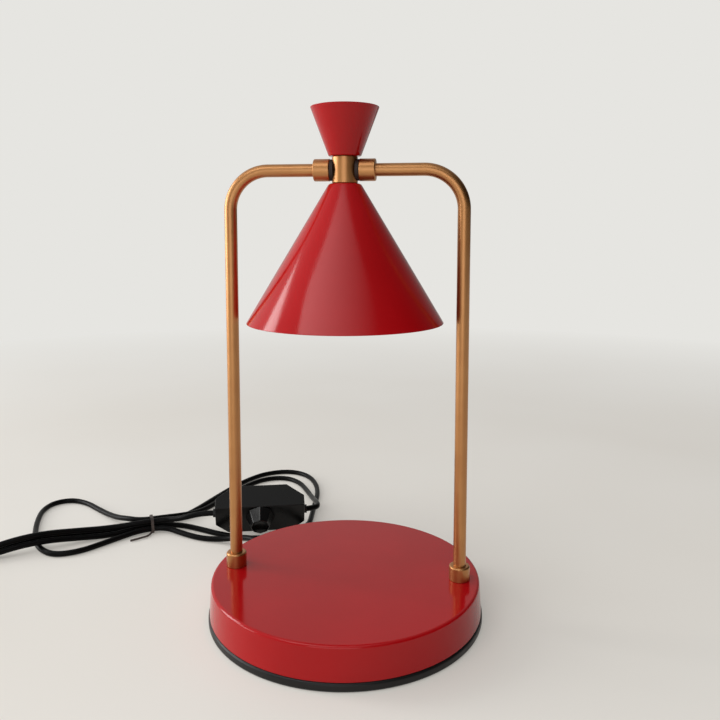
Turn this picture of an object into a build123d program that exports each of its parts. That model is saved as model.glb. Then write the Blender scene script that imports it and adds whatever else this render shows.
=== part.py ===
from build123d import *
import math
import os

# Candle warmer lamp with an inline dimmer. Millimetres, +Z up. The origin is the centre of the foot
# ring on the table, X runs along the two arms and the front faces -Y.

# Fits shared by all pieces
fit_gap = 0.05              # radial room of pieces that are screwed, pressed or pushed together
running_gap = 0.06          # radial room of a turning fit
slide_gap = 0.2             # end play between pieces that turn past each other
pass_gap = 0.3              # room round a piece that only passes through another
overrun = 2.0               # how far a cutting tool runs past the piece

# Base
shell_foot_radius = 87.5
shell_draft = 1.3           # how much narrower the shell is at its top
shell_wall = 1.2
shell_round = 1.8
ring_lip = 0.7              # how far the ring stands out past the shell
ring_width = 9.2
ring_height = 5.4
ring_round = 1.7
plate_ledge = 3.4           # height of the ledge that carries the bottom plate
plate_inset = 3.1           # how far the plate's edge lies inside the shell's foot
plate_thickness = 1.2
base_top = 25.5
weight_radius = 66.0
weight_thickness = 6.6
standoff_inset = 16.0       # from the weight's edge to the middle of a standoff
standoff_radius = 4.5
standoff_turns = (75.0, 195.0, 315.0)
bottom_screw_radius = 2.0
bottom_screw_head = 3.6
bottom_screw_head_height = 2.2
bottom_screw_bite = 8.0

# Cord entry at the back of the base
cord_diameter = 4.4
cord_turn = 140.0           # direction of the entry, in degrees from +X
cord_height = 13.8
grommet_neck = 4.2
grommet_flange = 5.4
grommet_nose = 3.4
grommet_stand = 0.55        # room between the shell's slope and the nose's flat face
grommet_slack = 0.65        # room between the shell's slope and the flange inside
grommet_flange_length = 2.0
grommet_nose_length = 4.9
clamp_inset = 7.0           # from the weight's edge to the middle of the clamp
clamp_length = 6.0
clamp_width = 18.0
clamp_height = 7.4
clamp_screw_offset = 6.0
clamp_screw_radius = 1.4
clamp_screw_head = 2.6
clamp_screw_head_height = 1.6
clamp_screw_bite = 4.0
block_face_x = -40.2
block_face_y = 31.2
block_turn = 134.8
block_depth = 14.0
block_width = 20.0
block_height = 9.0

# Posts and arms
tube_radius = 4.0
tube_wall = 0.8
post_inset = 12.7           # from the edge of the base top to the middle of a post
post_tail = 0.7             # how far the tube reaches past its nut
arm_height = 284.5
bend_radius = 24.5
arm_end = 14.4              # distance of the tube's end from the middle of the lamp
ferrule_radius = 6.6
ferrule_height = 9.4
ferrule_bevel = 0.9
post_washer_radius = 9.5
post_washer_thickness = 1.4
post_nut_width = 13.0
post_nut_height = 6.0

# Pivot of the head
collar_radius = 6.9
collar_start = 9.2
collar_end = 19.3
collar_step = 14.2
collar_bevel = 0.5
pivot_radius = 3.0
pivot_bore = 1.7
pivot_start = 2.4
pivot_end = 14.0
pivot_washer_radius = 6.6
pocket_radius = 6.8
pocket_face = 6.9
hub_radius = 8.0
hub_height = 16.6
hub_bevel = 0.5
hub_thread_depth = 4.2
wire_hole = 1.8
stop_radius = 0.7
stop_offset = 5.4
stop_start = 5.2
stop_end = 10.6
stop_slot_depth = 1.8
stop_half_turn = 101.0      # half the slot's sweep: 90 degrees of tilt, half the pin and its room

# Shade, cup and lampholder
shade_top_radius = 9.9
shade_room = 7.6            # room between the shade's rim and a post
shade_height = 86.4
shade_wall = 1.0
shade_round = 2.4
shade_lip_round = 0.45
cup_foot_radius = 10.05
cup_rim_radius = 21.3
cup_height = 29.8
cup_wall = 1.0
cup_floor = 1.2
cup_round = 0.8
nipple_radius = 4.0
nipple_bore = 2.0
nipple_seat = 4.0           # length screwed into the hub
cup_nipple_length = 10.4
shade_nipple_length = 20.4
nut_width = 12.0
nut_height = 4.0
spacer_radius = 5.6
spacer_height = 6.4
bracket_length = 25.4
bracket_width = 10.0
bracket_thickness = 1.2
holder_radius = 13.5
holder_height = 17.0
holder_recess_radius = 7.6
holder_recess_depth = 4.8
holder_screw_offset = 10.0
holder_screw_radius = 1.5
holder_screw_head = 2.6
holder_screw_head_height = 1.8
holder_screw_bite = 7.6
pin_offset = 5.0
pin_neck = 1.5
pin_head = 2.4
pin_neck_height = 3.0
pin_head_height = 2.2

# Bulb, from the lampholder downwards
bulb_gap = 0.3
bulb_cap_radius = 9.0
bulb_base_radius = 10.5
bulb_cap_height = 5.0
bulb_base_height = 13.0
bulb_neck_start = 7.0
bulb_neck_radius = 11.8
bulb_neck_height = 6.0
bulb_mid_radius = 19.4
bulb_mid_depth = 28.0
bulb_rim_radius = 25.0
bulb_rim_depth = 46.0
bulb_length = 50.4
bulb_wall = 1.2
lens_inset = 1.2
lens_thickness = 1.6

# Leads inside the tubes
lead_radius = 1.3
lead_drop = 1.8             # from the foot of the tube down to the lead
lead_bend = 4.0
lead_end = 2.4
head_lead_start = 2.05
head_lead_bend = 1.5

# Inline dimmer, in its own frame: x along the cord, y from the knob's face to the back, z across
dimmer_x = -88.9
dimmer_y = 113.6
dimmer_lift = -0.15
dimmer_turn = 15.0
dimmer_lean = 25.0
case_length = 72.0
case_depth = 24.0
case_width = 28.0
case_wall = 2.0
case_split = 6.0
case_round = 0.6
low_cut_x = 10.0
low_cut_z = 9.0
back_cut_x = 14.0
back_cut_y = 13.0
knob_z = 17.0
knob_gap = 0.5
knob_foot = 12.0
knob_tip = 7.5
knob_height = 11.0
knob_bevel = 0.5
knob_bore_depth = 8.0
shaft_radius = 3.0
shaft_end = 12.0
bush_radius = 4.4
bush_start = 0.4
pot_side = 14.0
pot_start = 8.4
pot_end = 14.4
pot_bore_end = 13.0
board_length = 25.0
board_width = 20.0
board_thickness = 1.4
case_screw_x = 17.0
case_screw_z = 14.0
case_post_radius = 4.0
case_screw_radius = 1.25
case_screw_head = 2.6
case_screw_head_height = 1.8
case_screw_sink = 2.0
case_screw_end = 3.0
relief_radius = 3.4
relief_flange = 3.85
relief_z = 17.0
relief_out = 2.0
relief_start = 31.0
relief_flange_length = 1.6

# Plug, in its own frame: x from the cord to the blades
plug_x = -294.2
plug_y = -15.2
plug_z = 8.0
plug_turn = -98.28
plug_relief_nose = 3.0
plug_relief_foot = 5.2
plug_relief_length = 20.0
plug_body_length = 28.0
plug_back_width = 14.0
plug_face_width = 25.0
plug_shoulder = 17.0
plug_thickness = 15.8
plug_round = 2.0
blade_spacing = 12.7
blade_thickness = 1.5
blade_width = 6.3
blade_length = 17.5
blade_bevel = 1.5

# Wire tie round the hank
tie_x = -178.0
tie_y = 102.0
tie_turn = 209.9
tie_room = 0.35
tie_thickness = 0.9
tie_width = 2.2
tie_low_z = 3.8
tie_high_z = 8.8
tie_low_front = -5.75
tie_low_back = 5.0
tie_high_front = -2.6
tie_high_back = 2.95
tail_radius = 0.8

# Cord routes, chosen by hand from the photographed hank
lamp_cord_points = [
    (-40.21, 31.21, 13.8), (-55.2, 46.3, 13.8), (-81.2, 68.2, 13.8), (-98.4, 81.8, 7.4), (-114.4, 86.2, 3.0),
    (-131.0, 87.6, 2.3), (-148.4, 94.0, 2.7), (-166.8, 101.6, 3.9), (-183.6, 92.4, 3.8), (-193.4, 82.4, 2.7),
    (-204.0, 67.6, 2.3), (-214.4, 52.2, 2.3), (-230.6, 43.6, 2.3), (-246.6, 51.6, 2.3), (-259.4, 66.4, 2.3),
    (-270.0, 83.4, 2.3), (-280.4, 103.8, 2.3), (-288.6, 124.6, 2.3), (-288.2, 142.6, 2.3), (-275.4, 151.6, 2.3),
    (-258.4, 146.4, 2.3), (-241.4, 134.0, 2.3), (-225.4, 121.8, 3.2), (-211.4, 110.6, 5.8), (-199.4, 103.6, 8.4),
    (-186.8, 100.6, 8.8),
    (-170.6, 109.4, 8.7), (-160.6, 120.6, 6.4), (-150.8, 137.4, 3.2), (-143.6, 160.0, 2.3), (-136.6, 185.4, 2.3),
    (-128.6, 210.6, 2.3), (-115.4, 230.6, 2.3), (-96.4, 236.4, 2.3), (-80.6, 225.0, 2.3), (-70.6, 206.4, 2.8),
    (-62.6, 188.4, 5.0), (-54.8, 172.4, 8.4), (-47.8, 158.4, 11.8), (-42.4, 144.6, 15.0), (-39.8, 132.8, 17.2),
    (-43.31, 124.01, 17.79), (-51.72, 121.76, 17.79),
]
plug_cord_points = [
    (-125.18, 102.07, 17.79), (-134.04, 99.7, 17.79), (-144.6, 99.0, 15.2), (-156.0, 101.4, 11.2),
    (-168.4, 104.4, 8.9), (-185.4, 94.9, 8.8), (-206.0, 85.5, 7.5), (-226.5, 73.0, 9.4), (-244.5, 59.4, 12.1),
    (-259.5, 47.6, 12.1), (-273.5, 37.6, 9.6), (-283.4, 30.8, 6.4), (-294.6, 20.4, 3.0), (-302.4, 5.6, 2.3),
    (-310.2, -9.8, 2.3), (-324.7, -15.0, 2.3), (-339.2, -6.0, 2.3), (-341.4, 11.8, 2.3), (-329.0, 25.6, 2.3),
    (-311.4, 30.6, 2.3), (-294.4, 33.4, 2.7), (-277.2, 39.6, 5.0), (-261.0, 49.8, 7.3), (-246.2, 61.7, 7.3),
    (-228.1, 75.4, 4.6), (-207.6, 88.2, 2.5), (-189.4, 101.2, 3.8), (-172.0, 111.2, 3.8), (-163.2, 124.4, 2.4),
    (-155.6, 143.4, 2.3), (-149.4, 168.6, 2.3), (-142.2, 196.4, 2.3), (-133.0, 224.0, 2.3), (-119.0, 246.6, 2.3),
    (-96.6, 256.2, 2.3), (-76.4, 246.0, 2.3), (-63.4, 222.6, 2.3), (-56.6, 195.0, 2.3), (-53.2, 168.6, 2.3),
    (-50.6, 146.4, 2.3), (-50.6, 125.0, 2.3), (-58.6, 108.4, 2.3), (-73.6, 97.2, 2.3), (-90.6, 92.6, 2.3),
    (-106.4, 94.2, 2.3), (-121.4, 98.6, 2.3), (-137.4, 104.8, 2.3), (-153.4, 109.4, 2.7), (-169.4, 106.6, 3.8),
    (-186.6, 97.0, 3.8), (-204.4, 82.8, 2.5), (-225.0, 70.2, 4.6), (-243.0, 56.8, 7.3), (-257.8, 45.2, 7.3),
    (-271.8, 34.8, 5.2), (-283.4, 23.8, 3.0), (-289.8, 10.4, 3.6), (-292.6, -4.2, 8.0), (-294.2, -15.2, 8.0),
]
tie_tail_points = [
    (-174.6, 94.4, 2.2), (-174.8, 88.6, 1.5), (-180.2, 83.4, 1.3), (-185.6, 78.2, 1.2),
]
corner_share = 0.45         # share of the shorter run that an arc uses at each corner

shell_low = ring_height
shell_under = base_top - shell_wall
shell_top_radius = shell_foot_radius - shell_draft
ring_radius = shell_foot_radius + ring_lip
ring_inner = ring_radius - ring_width
plate_radius = shell_foot_radius - plate_inset
standoff_reach = weight_radius - standoff_inset
clamp_reach = weight_radius - clamp_inset
shell_at_cord = shell_foot_radius - shell_draft * (cord_height - shell_low) / (base_top - shell_low)
grommet_outside = shell_at_cord + grommet_stand
grommet_inside = shell_at_cord - shell_wall - grommet_slack
grommet_start = grommet_inside - grommet_flange_length
grommet_end = grommet_outside + grommet_nose_length
plate_top = plate_ledge + plate_thickness
weight_top = plate_top + weight_thickness
post_washer_low = shell_under - post_washer_thickness
post_nut_low = post_washer_low - post_nut_height
post_x = shell_top_radius - post_inset
post_foot = post_nut_low - post_tail
lead_level = post_foot - lead_drop
hub_low = arm_height - hub_height / 2
hub_top = arm_height + hub_height / 2
shade_rim = hub_low - shade_height
shade_rim_radius = post_x - tube_radius - shade_room
cup_rim = hub_top + cup_height
shade_slope = (shade_rim_radius - shade_top_radius) / (hub_low - shade_rim)
shade_across = shade_wall * math.hypot(1, shade_slope)
shade_under = hub_low - shade_wall
cup_slope = (cup_rim_radius - cup_foot_radius) / (cup_rim - hub_top)
cup_across = cup_wall * math.hypot(1, cup_slope)
shade_nut_low = shade_under - nut_height
bracket_top = shade_nut_low - spacer_height
holder_top = bracket_top - bracket_thickness
holder_low = holder_top - holder_height
bulb_top = holder_low - bulb_gap

nodes = {}


def cylinder(radius, low, high, x=0, y=0):
    """A standing cylinder between two heights."""
    piece = Cylinder(radius, high - low, align=(Align.CENTER, Align.CENTER, Align.MIN))
    return Pos(x, y, low) * piece


def along(radius, start, end, place):
    """A cylinder on the x axis of a place, from one distance to another."""
    piece = Cylinder(radius, end - start, align=(Align.CENTER, Align.CENTER, Align.MIN))
    return place * Pos(start, 0, 0) * Rot(0, 90, 0) * piece


def turned(points, rounds=()):
    """A solid turned round Z from an outline of (radius, height) points with some corners rounded."""
    outline = make_face(Polyline(*points, close=True))
    for index, radius in rounds:
        corner = outline.vertices().sort_by_distance((points[index][0], points[index][1], 0))[0]
        outline = fillet(corner, radius)
    return revolve(Plane.XZ * outline, Axis.Z)


def nut(width, low, high, bore, x=0):
    """A hexagon nut."""
    body = extrude(RegularPolygon(width / 2, 6, major_radius=False), high - low)
    return Pos(x, 0, low) * body - cylinder(bore, low - overrun, high + overrun, x)


def round_corners(points):
    """One radius for each corner of a cord's route."""
    radii = []
    for before, here, after in zip(points, points[1:], points[2:]):
        run_in = Vector(*here) - Vector(*before)
        run_out = Vector(*after) - Vector(*here)
        half_turn = math.radians(run_in.get_angle(run_out)) / 2
        radii.append(corner_share * min(run_in.length, run_out.length) / math.tan(half_turn))
    return radii


def tube(points, radius, radii):
    """A round wire along straight runs and tangent arcs."""
    path = FilletPolyline(*points, radius=radii)
    section = Plane(origin=path @ 0, z_dir=path % 0) * Circle(radius)
    return sweep(section, path=path), path


def polar(distance, turn):
    return distance * math.cos(math.radians(turn)), distance * math.sin(math.radians(turn))


def make_base():
    nodes["foot_ring"] = turned([
        (ring_inner, 0), (ring_radius, 0), (ring_radius, ring_height),
        (plate_radius + slide_gap, ring_height), (plate_radius + slide_gap, plate_ledge),
        (ring_inner, plate_ledge)], [(1, ring_round), (2, ring_round)])

    shell = turned([
        (0, base_top), (shell_top_radius, base_top), (shell_foot_radius, shell_low),
        (shell_foot_radius - shell_wall, shell_low), (shell_top_radius - shell_wall, shell_under),
        (0, shell_under)], [(1, shell_round)])
    plate = cylinder(plate_radius, plate_ledge, plate_top)
    weight = cylinder(weight_radius, plate_top, weight_top)
    screws = Part()
    for turn in standoff_turns:
        x, y = polar(standoff_reach, turn)
        screw_end = weight_top + bottom_screw_bite
        hole = cylinder(bottom_screw_radius + pass_gap, -overrun, weight_top + overrun, x, y)
        shell += cylinder(standoff_radius, weight_top, shell_under, x, y)
        shell -= cylinder(bottom_screw_radius + fit_gap, weight_top - overrun, screw_end + pass_gap, x, y)
        plate -= hole
        weight -= hole
        screws += cylinder(bottom_screw_radius, plate_ledge, screw_end, x, y)
        screws += cylinder(bottom_screw_head, plate_ledge - bottom_screw_head_height, plate_ledge, x, y)
    for side in (-1, 1):
        shell -= cylinder(ferrule_radius + fit_gap, shell_under - overrun, base_top + overrun, side * post_x)
    entry = Pos(0, 0, cord_height) * Rot(0, 0, cord_turn)
    shell -= along(grommet_neck + fit_gap, grommet_start, grommet_end, entry)

    grommet = along(grommet_neck, grommet_start, grommet_end, entry)
    grommet += along(grommet_flange, grommet_start, grommet_inside, entry)
    nose = Cone(grommet_flange, grommet_nose, grommet_end - grommet_outside,
                align=(Align.CENTER, Align.CENTER, Align.MIN))
    tip = entry * Pos(grommet_outside, 0, 0) * Rot(0, 90, 0) * nose
    grommet = grommet - along(grommet_neck + overrun, grommet_outside, grommet_end + overrun, entry) + tip
    grommet -= along(cord_diameter / 2 + fit_gap, grommet_start - overrun, grommet_end + overrun, entry)

    clamp_place = Pos(0, 0, weight_top) * Rot(0, 0, cord_turn) * Pos(clamp_reach, 0, 0)
    clamp = clamp_place * Box(clamp_length, clamp_width, clamp_height,
                              align=(Align.CENTER, Align.CENTER, Align.MIN))
    clamp_screws = Part()
    for side in (-1, 1):
        place = clamp_place * Pos(0, side * clamp_screw_offset, 0)
        hole = place * cylinder(clamp_screw_radius + fit_gap, -clamp_screw_bite, clamp_height + overrun)
        clamp -= hole
        weight -= hole
        clamp_screws += place * cylinder(clamp_screw_radius, -clamp_screw_bite, clamp_height)
        clamp_screws += place * cylinder(
            clamp_screw_head, clamp_height, clamp_height + clamp_screw_head_height)
    block = Pos(block_face_x, block_face_y, weight_top) * Rot(0, 0, block_turn) * Box(
        block_depth, block_width, block_height, align=(Align.MAX, Align.CENTER, Align.MIN))

    nodes["base_shell"] = shell
    nodes["bottom_plate"] = plate
    nodes["base_weight"] = weight
    nodes["bottom_screws"] = screws
    nodes["cord_grommet"] = grommet
    nodes["cord_clamp"] = clamp
    nodes["clamp_screws"] = clamp_screws
    nodes["terminal_block"] = block


def make_frame():
    for side, name in ((-1, "left"), (1, "right")):
        corner = side * post_x
        path = FilletPolyline((corner, 0, post_foot), (corner, 0, arm_height), (side * arm_end, 0, arm_height),
                              radius=bend_radius)
        ring = Circle(tube_radius) - Circle(tube_radius - tube_wall)
        nodes[name + "_tube"] = sweep(Plane(origin=path @ 0, z_dir=path % 0) * ring, path=path)

        ferrule = turned([
            (tube_radius + fit_gap, shell_under), (ferrule_radius, shell_under),
            (ferrule_radius, base_top + ferrule_height - ferrule_bevel),
            (ferrule_radius - ferrule_bevel, base_top + ferrule_height),
            (tube_radius + fit_gap, base_top + ferrule_height)])
        nodes[name + "_base_ferrule"] = Pos(corner, 0, 0) * ferrule
        washer = cylinder(post_washer_radius, post_washer_low, shell_under, corner)
        nodes[name + "_post_washer"] = washer - cylinder(
            tube_radius + pass_gap, post_washer_low - overrun, shell_under + overrun, corner)
        nodes[name + "_post_nut"] = nut(
            post_nut_width, post_nut_low, post_washer_low, tube_radius + fit_gap, corner)

        # The side's own place, with x pointing outwards along the arm
        arm = Pos(0, 0, arm_height) * Rot(0, 0, 90 - 90 * side)
        collar = along(collar_radius, collar_start, collar_end, arm)
        collar = chamfer(collar.edges().filter_by(GeomType.CIRCLE), collar_bevel)
        collar -= along(tube_radius + fit_gap, collar_step, collar_end + overrun, arm)
        collar -= along(pivot_radius + fit_gap, collar_start - overrun, collar_step + overrun, arm)
        if side > 0:
            collar -= stop_slot()
        nodes[name + "_hub_collar"] = collar
        nodes[name + "_pivot_nipple"] = along(pivot_radius, pivot_start, pivot_end, arm) - along(
            pivot_bore, pivot_start - overrun, pivot_end + overrun, arm)


def stop_slot():
    """The arc slot in the right collar's inner face that limits the tilt."""
    half_width = stop_radius + pass_gap
    band = Circle(stop_offset + half_width) - Circle(stop_offset - half_width)
    reach = stop_offset + half_width + overrun
    edge_y, edge_z = polar(reach * 2, 90 - stop_half_turn)
    # Corners of the wedge below the slot's two ends, which stays solid
    wedge = make_face(Polyline((0, 0), (edge_y, edge_z), (edge_y, -reach * 2), (-edge_y, -reach * 2),
                               (-edge_y, edge_z), close=True))
    band -= wedge
    face = Plane(origin=(collar_start, 0, arm_height), x_dir=(0, 1, 0), z_dir=(1, 0, 0))
    slot = extrude(face * band, stop_slot_depth)
    return slot + extrude(face * band, -overrun)


def make_head():
    hub = cylinder(hub_radius, hub_low, hub_top)
    hub = chamfer(hub.edges().filter_by(GeomType.CIRCLE), hub_bevel)
    axis = Pos(0, 0, arm_height)
    hub -= along(pivot_radius + running_gap, -hub_radius - overrun, hub_radius + overrun, axis)
    pin_place = Pos(0, 0, arm_height + stop_offset)
    pin_hole = along(stop_radius + fit_gap, stop_start - fit_gap, stop_end, pin_place)
    for side, name in ((-1, "left"), (1, "right")):
        arm = axis * Rot(0, 0, 90 - 90 * side)
        hub -= along(pocket_radius, pocket_face, hub_radius + overrun, arm)
        # A friction washer that turns with the hub and rubs on the collar; the pin keys the right one
        washer = along(pivot_washer_radius, pocket_face, collar_start - slide_gap, arm)
        washer -= along(pivot_radius + running_gap, pocket_face - overrun, collar_start + overrun, arm)
        nodes[name + "_pivot_washer"] = washer - pin_hole
    hub -= cylinder(wire_hole, hub_low - overrun, hub_top + overrun)
    hub -= cylinder(nipple_radius + fit_gap, hub_low - overrun, hub_low + hub_thread_depth)
    hub -= cylinder(nipple_radius + fit_gap, hub_top - hub_thread_depth, hub_top + overrun)
    hub -= pin_hole
    nodes["hub"] = hub
    nodes["pivot_stop_pin"] = along(stop_radius, stop_start, stop_end, pin_place)

    shade = turned([
        (nipple_radius + pass_gap, hub_low), (shade_top_radius, hub_low), (shade_rim_radius, shade_rim),
        (shade_rim_radius - shade_across, shade_rim),
        (shade_top_radius - shade_across + shade_slope * shade_wall, shade_under),
        (nipple_radius + pass_gap, shade_under)],
        [(1, shade_round), (2, shade_lip_round), (3, shade_lip_round), (4, shade_round - shade_wall)])
    nodes["shade"] = shade
    cup = turned([
        (nipple_radius + pass_gap, hub_top), (cup_foot_radius, hub_top), (cup_rim_radius, cup_rim),
        (cup_rim_radius - cup_across, cup_rim),
        (cup_foot_radius - cup_across + cup_slope * cup_floor, hub_top + cup_floor),
        (nipple_radius + pass_gap, hub_top + cup_floor)], [(1, cup_round)])
    nodes["upper_cup"] = cup

    cup_nipple_low = hub_top - nipple_seat
    cup_nipple = cylinder(nipple_radius, cup_nipple_low, cup_nipple_low + cup_nipple_length)
    nodes["cup_nipple"] = cup_nipple - cylinder(
        nipple_bore, cup_nipple_low - overrun, cup_nipple_low + cup_nipple_length + overrun)
    shade_nipple_top = hub_low + nipple_seat
    shade_nipple = cylinder(nipple_radius, shade_nipple_top - shade_nipple_length, shade_nipple_top)
    nodes["shade_nipple"] = shade_nipple - cylinder(
        nipple_bore, shade_nipple_top - shade_nipple_length - overrun, shade_nipple_top + overrun)
    bore = nipple_radius + fit_gap
    cup_nut_low = hub_top + cup_floor
    nuts = nut(nut_width, cup_nut_low, cup_nut_low + nut_height, bore)
    nuts += nut(nut_width, shade_nut_low, shade_under, bore)
    nuts += nut(nut_width, holder_top - nut_height, holder_top, bore)
    nodes["nipple_nuts"] = nuts
    nodes["nipple_spacer"] = cylinder(spacer_radius, bracket_top, shade_nut_low) - cylinder(
        nipple_radius + pass_gap, bracket_top - overrun, shade_nut_low + overrun)

    bracket = Pos(0, 0, holder_top) * Box(bracket_length, bracket_width, bracket_thickness,
                                          align=(Align.CENTER, Align.CENTER, Align.MIN))
    bracket -= cylinder(bore, holder_top - overrun, bracket_top + overrun)
    holder = cylinder(holder_radius, holder_low, holder_top)
    holder -= cylinder(holder_recess_radius, holder_top - holder_recess_depth, holder_top + overrun)
    screws = Part()
    pins = Part()
    pin_top = bulb_top + pin_neck_height + pin_head_height
    for side in (-1, 1):
        x = side * holder_screw_offset
        hole = cylinder(holder_screw_radius + fit_gap, holder_top - holder_screw_bite - fit_gap,
                        bracket_top + overrun, x)
        bracket -= hole
        holder -= hole
        screws += cylinder(holder_screw_radius, holder_top - holder_screw_bite, bracket_top, x)
        screws += cylinder(holder_screw_head, bracket_top, bracket_top + holder_screw_head_height, x)
        pin_x = side * pin_offset
        holder -= cylinder(pin_head + pass_gap, holder_low - overrun, pin_top + pass_gap, pin_x)
        pins += cylinder(pin_neck, bulb_top, bulb_top + pin_neck_height, pin_x)
        pins += cylinder(pin_head, bulb_top + pin_neck_height, pin_top, pin_x)
    nodes["lampholder_bracket"] = bracket
    nodes["lampholder"] = holder
    nodes["lampholder_screws"] = screws
    nodes["bulb_pins"] = pins

    nodes["bulb_base"] = turned([
        (0, bulb_top), (bulb_cap_radius, bulb_top), (bulb_base_radius, bulb_top - bulb_cap_height),
        (bulb_base_radius, bulb_top - bulb_base_height), (0, bulb_top - bulb_base_height)])
    nodes["bulb_reflector"] = turned([
        (bulb_base_radius + fit_gap, bulb_top - bulb_neck_start),
        (bulb_neck_radius, bulb_top - bulb_neck_start),
        (bulb_neck_radius, bulb_top - bulb_neck_start - bulb_neck_height),
        (bulb_mid_radius, bulb_top - bulb_mid_depth),
        (bulb_rim_radius, bulb_top - bulb_rim_depth),
        (bulb_rim_radius, bulb_top - bulb_length),
        (bulb_rim_radius - bulb_wall, bulb_top - bulb_length),
        (bulb_rim_radius - bulb_wall, bulb_top - bulb_rim_depth),
        (bulb_mid_radius - bulb_wall, bulb_top - bulb_mid_depth),
        (bulb_base_radius + fit_gap, bulb_top - bulb_neck_start - bulb_neck_height)])
    lens_low = bulb_top - bulb_length + lens_inset
    nodes["bulb_lens"] = cylinder(bulb_rim_radius - bulb_wall - fit_gap, lens_low, lens_low + lens_thickness)


def make_leads():
    # From the terminal block's side into the foot of the left tube, up the post and along the arm
    across = Pos(block_face_x, block_face_y, 0) * Rot(0, 0, block_turn) * Pos(-block_depth / 2, block_width / 2, 0)
    start = across.position
    heading = polar(lead_bend * 2, block_turn + 90)
    points = [
        (start.X, start.Y, lead_level), (start.X + heading[0], start.Y + heading[1], lead_level),
        (-post_x, 0, lead_level), (-post_x, 0, arm_height), (-lead_end, 0, arm_height)]
    nodes["frame_lead"], path = tube(points, lead_radius, [lead_bend, lead_bend, bend_radius])
    low = holder_top - holder_recess_depth
    points = [(-head_lead_start, 0, arm_height), (0, 0, arm_height), (0, 0, low)]
    nodes["head_lead"], path = tube(points, lead_radius, [head_lead_bend])


def case_block(inset):
    """The dimmer's outside for no inset, or the hollow inside its walls."""
    half = case_length / 2 - inset
    low = inset
    high = case_width - inset
    front = inset
    back = case_depth - inset
    face = make_face(Polyline((-half, high), (-half, low + low_cut_z), (-half + low_cut_x, low),
                              (half - low_cut_x, low), (half, low + low_cut_z), (half, high), close=True))
    plan = make_face(Polyline((-half, front), (-half, back - back_cut_y), (-half + back_cut_x, back),
                              (half - back_cut_x, back), (half, back - back_cut_y), (half, front), close=True))
    across = extrude(Plane.XZ * face, -case_depth - overrun)
    upright = extrude(plan, case_width)
    return across & upright


def make_dimmer():
    place = Pos(dimmer_x, dimmer_y, dimmer_lift) * Rot(0, 0, dimmer_turn) * Rot(dimmer_lean, 0, 0)
    # x along the dimmer's own y, from the knob's face to the back
    depth = Rot(0, 0, 90)
    body = case_block(0)
    body = fillet(body.edges(), case_round)
    body -= case_block(case_wall)
    room = Box(case_length * 2, case_split, case_width * 2, align=(Align.CENTER, Align.MIN, Align.CENTER))
    front = body & room
    back = body - room
    for side in (-1, 1):
        spot = Pos(side * case_screw_x, 0, case_screw_z) * depth
        front += along(case_post_radius, case_wall, case_split, spot)
        back += along(case_post_radius, case_split, case_depth - case_wall, spot)
        front -= along(case_screw_radius + fit_gap, case_screw_end - fit_gap, case_split + overrun, spot)
        back -= along(case_screw_radius + pass_gap, case_split - overrun, case_depth + overrun, spot)
        back -= along(case_screw_head + pass_gap, case_depth - case_screw_sink, case_depth + overrun, spot)
        end = Pos(0, case_split, relief_z) * Rot(0, 0, 90 - 90 * side)
        hole = along(relief_radius + fit_gap, relief_start, case_length / 2 + overrun, end)
        front -= hole
        back -= hole
        relief = along(relief_radius, relief_start, case_length / 2 + relief_out, end)
        relief += along(relief_flange, relief_start, relief_start + relief_flange_length, end)
        nodes["dimmer_right_relief" if side > 0 else "dimmer_left_relief"] = place * relief
    screws = Part()
    for side in (-1, 1):
        spot = Pos(side * case_screw_x, 0, case_screw_z) * depth
        head_low = case_depth - case_screw_sink
        screws += along(case_screw_radius, case_screw_end, head_low, spot)
        screws += along(case_screw_head, head_low, head_low + case_screw_head_height, spot)
    centre = Pos(0, 0, knob_z) * depth
    front -= along(bush_radius + slide_gap, -overrun, case_wall + overrun, centre)

    pot = Pos(0, pot_start, knob_z) * Box(pot_side, pot_end - pot_start, pot_side,
                                          align=(Align.CENTER, Align.MIN, Align.CENTER))
    pot += along(bush_radius, bush_start, pot_start, centre)
    pot -= along(shaft_radius + running_gap, -overrun, pot_bore_end, centre)
    board = Pos(0, pot_end, knob_z - board_width / 4) * Box(
        board_length, board_thickness, board_width, align=(Align.CENTER, Align.MIN, Align.CENTER))

    foot = Plane(origin=(0, -knob_gap, knob_z), x_dir=(1, 0, 0), z_dir=(0, -1, 0))
    tip = Plane(origin=(0, -knob_gap - knob_height, knob_z), x_dir=(1, 0, 0), z_dir=(0, -1, 0))
    knob = loft([foot * RegularPolygon(knob_foot, 8, rotation=90), tip * RegularPolygon(knob_tip, 8, rotation=90)])
    knob = fillet(knob.faces().sort_by(Axis.Y)[0].edges(), knob_bevel)
    knob -= along(shaft_radius + fit_gap, -knob_gap - knob_bore_depth, overrun, centre)
    shaft = along(shaft_radius, -knob_gap - knob_bore_depth + fit_gap, shaft_end, centre)

    nodes["dimmer_front_case"] = place * front
    nodes["dimmer_back_case"] = place * back
    nodes["dimmer_screws"] = place * screws
    nodes["dimmer_pot"] = place * pot
    nodes["dimmer_board"] = place * board
    nodes["dimmer_knob"] = place * knob
    nodes["dimmer_shaft"] = place * shaft
    base = place * Pos(0, 0, knob_z)
    turn_axis = place * Pos(0, -1, knob_z)
    direction = turn_axis.position - base.position
    print("knob axis at", [round(v, 3) for v in base.position], "along", [round(v, 5) for v in direction])
    for side in (-1, 1):
        spot = place * Pos(side * (case_length / 2 + relief_out), case_split, relief_z)
        print("relief end", [round(v, 2) for v in spot.position])


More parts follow.
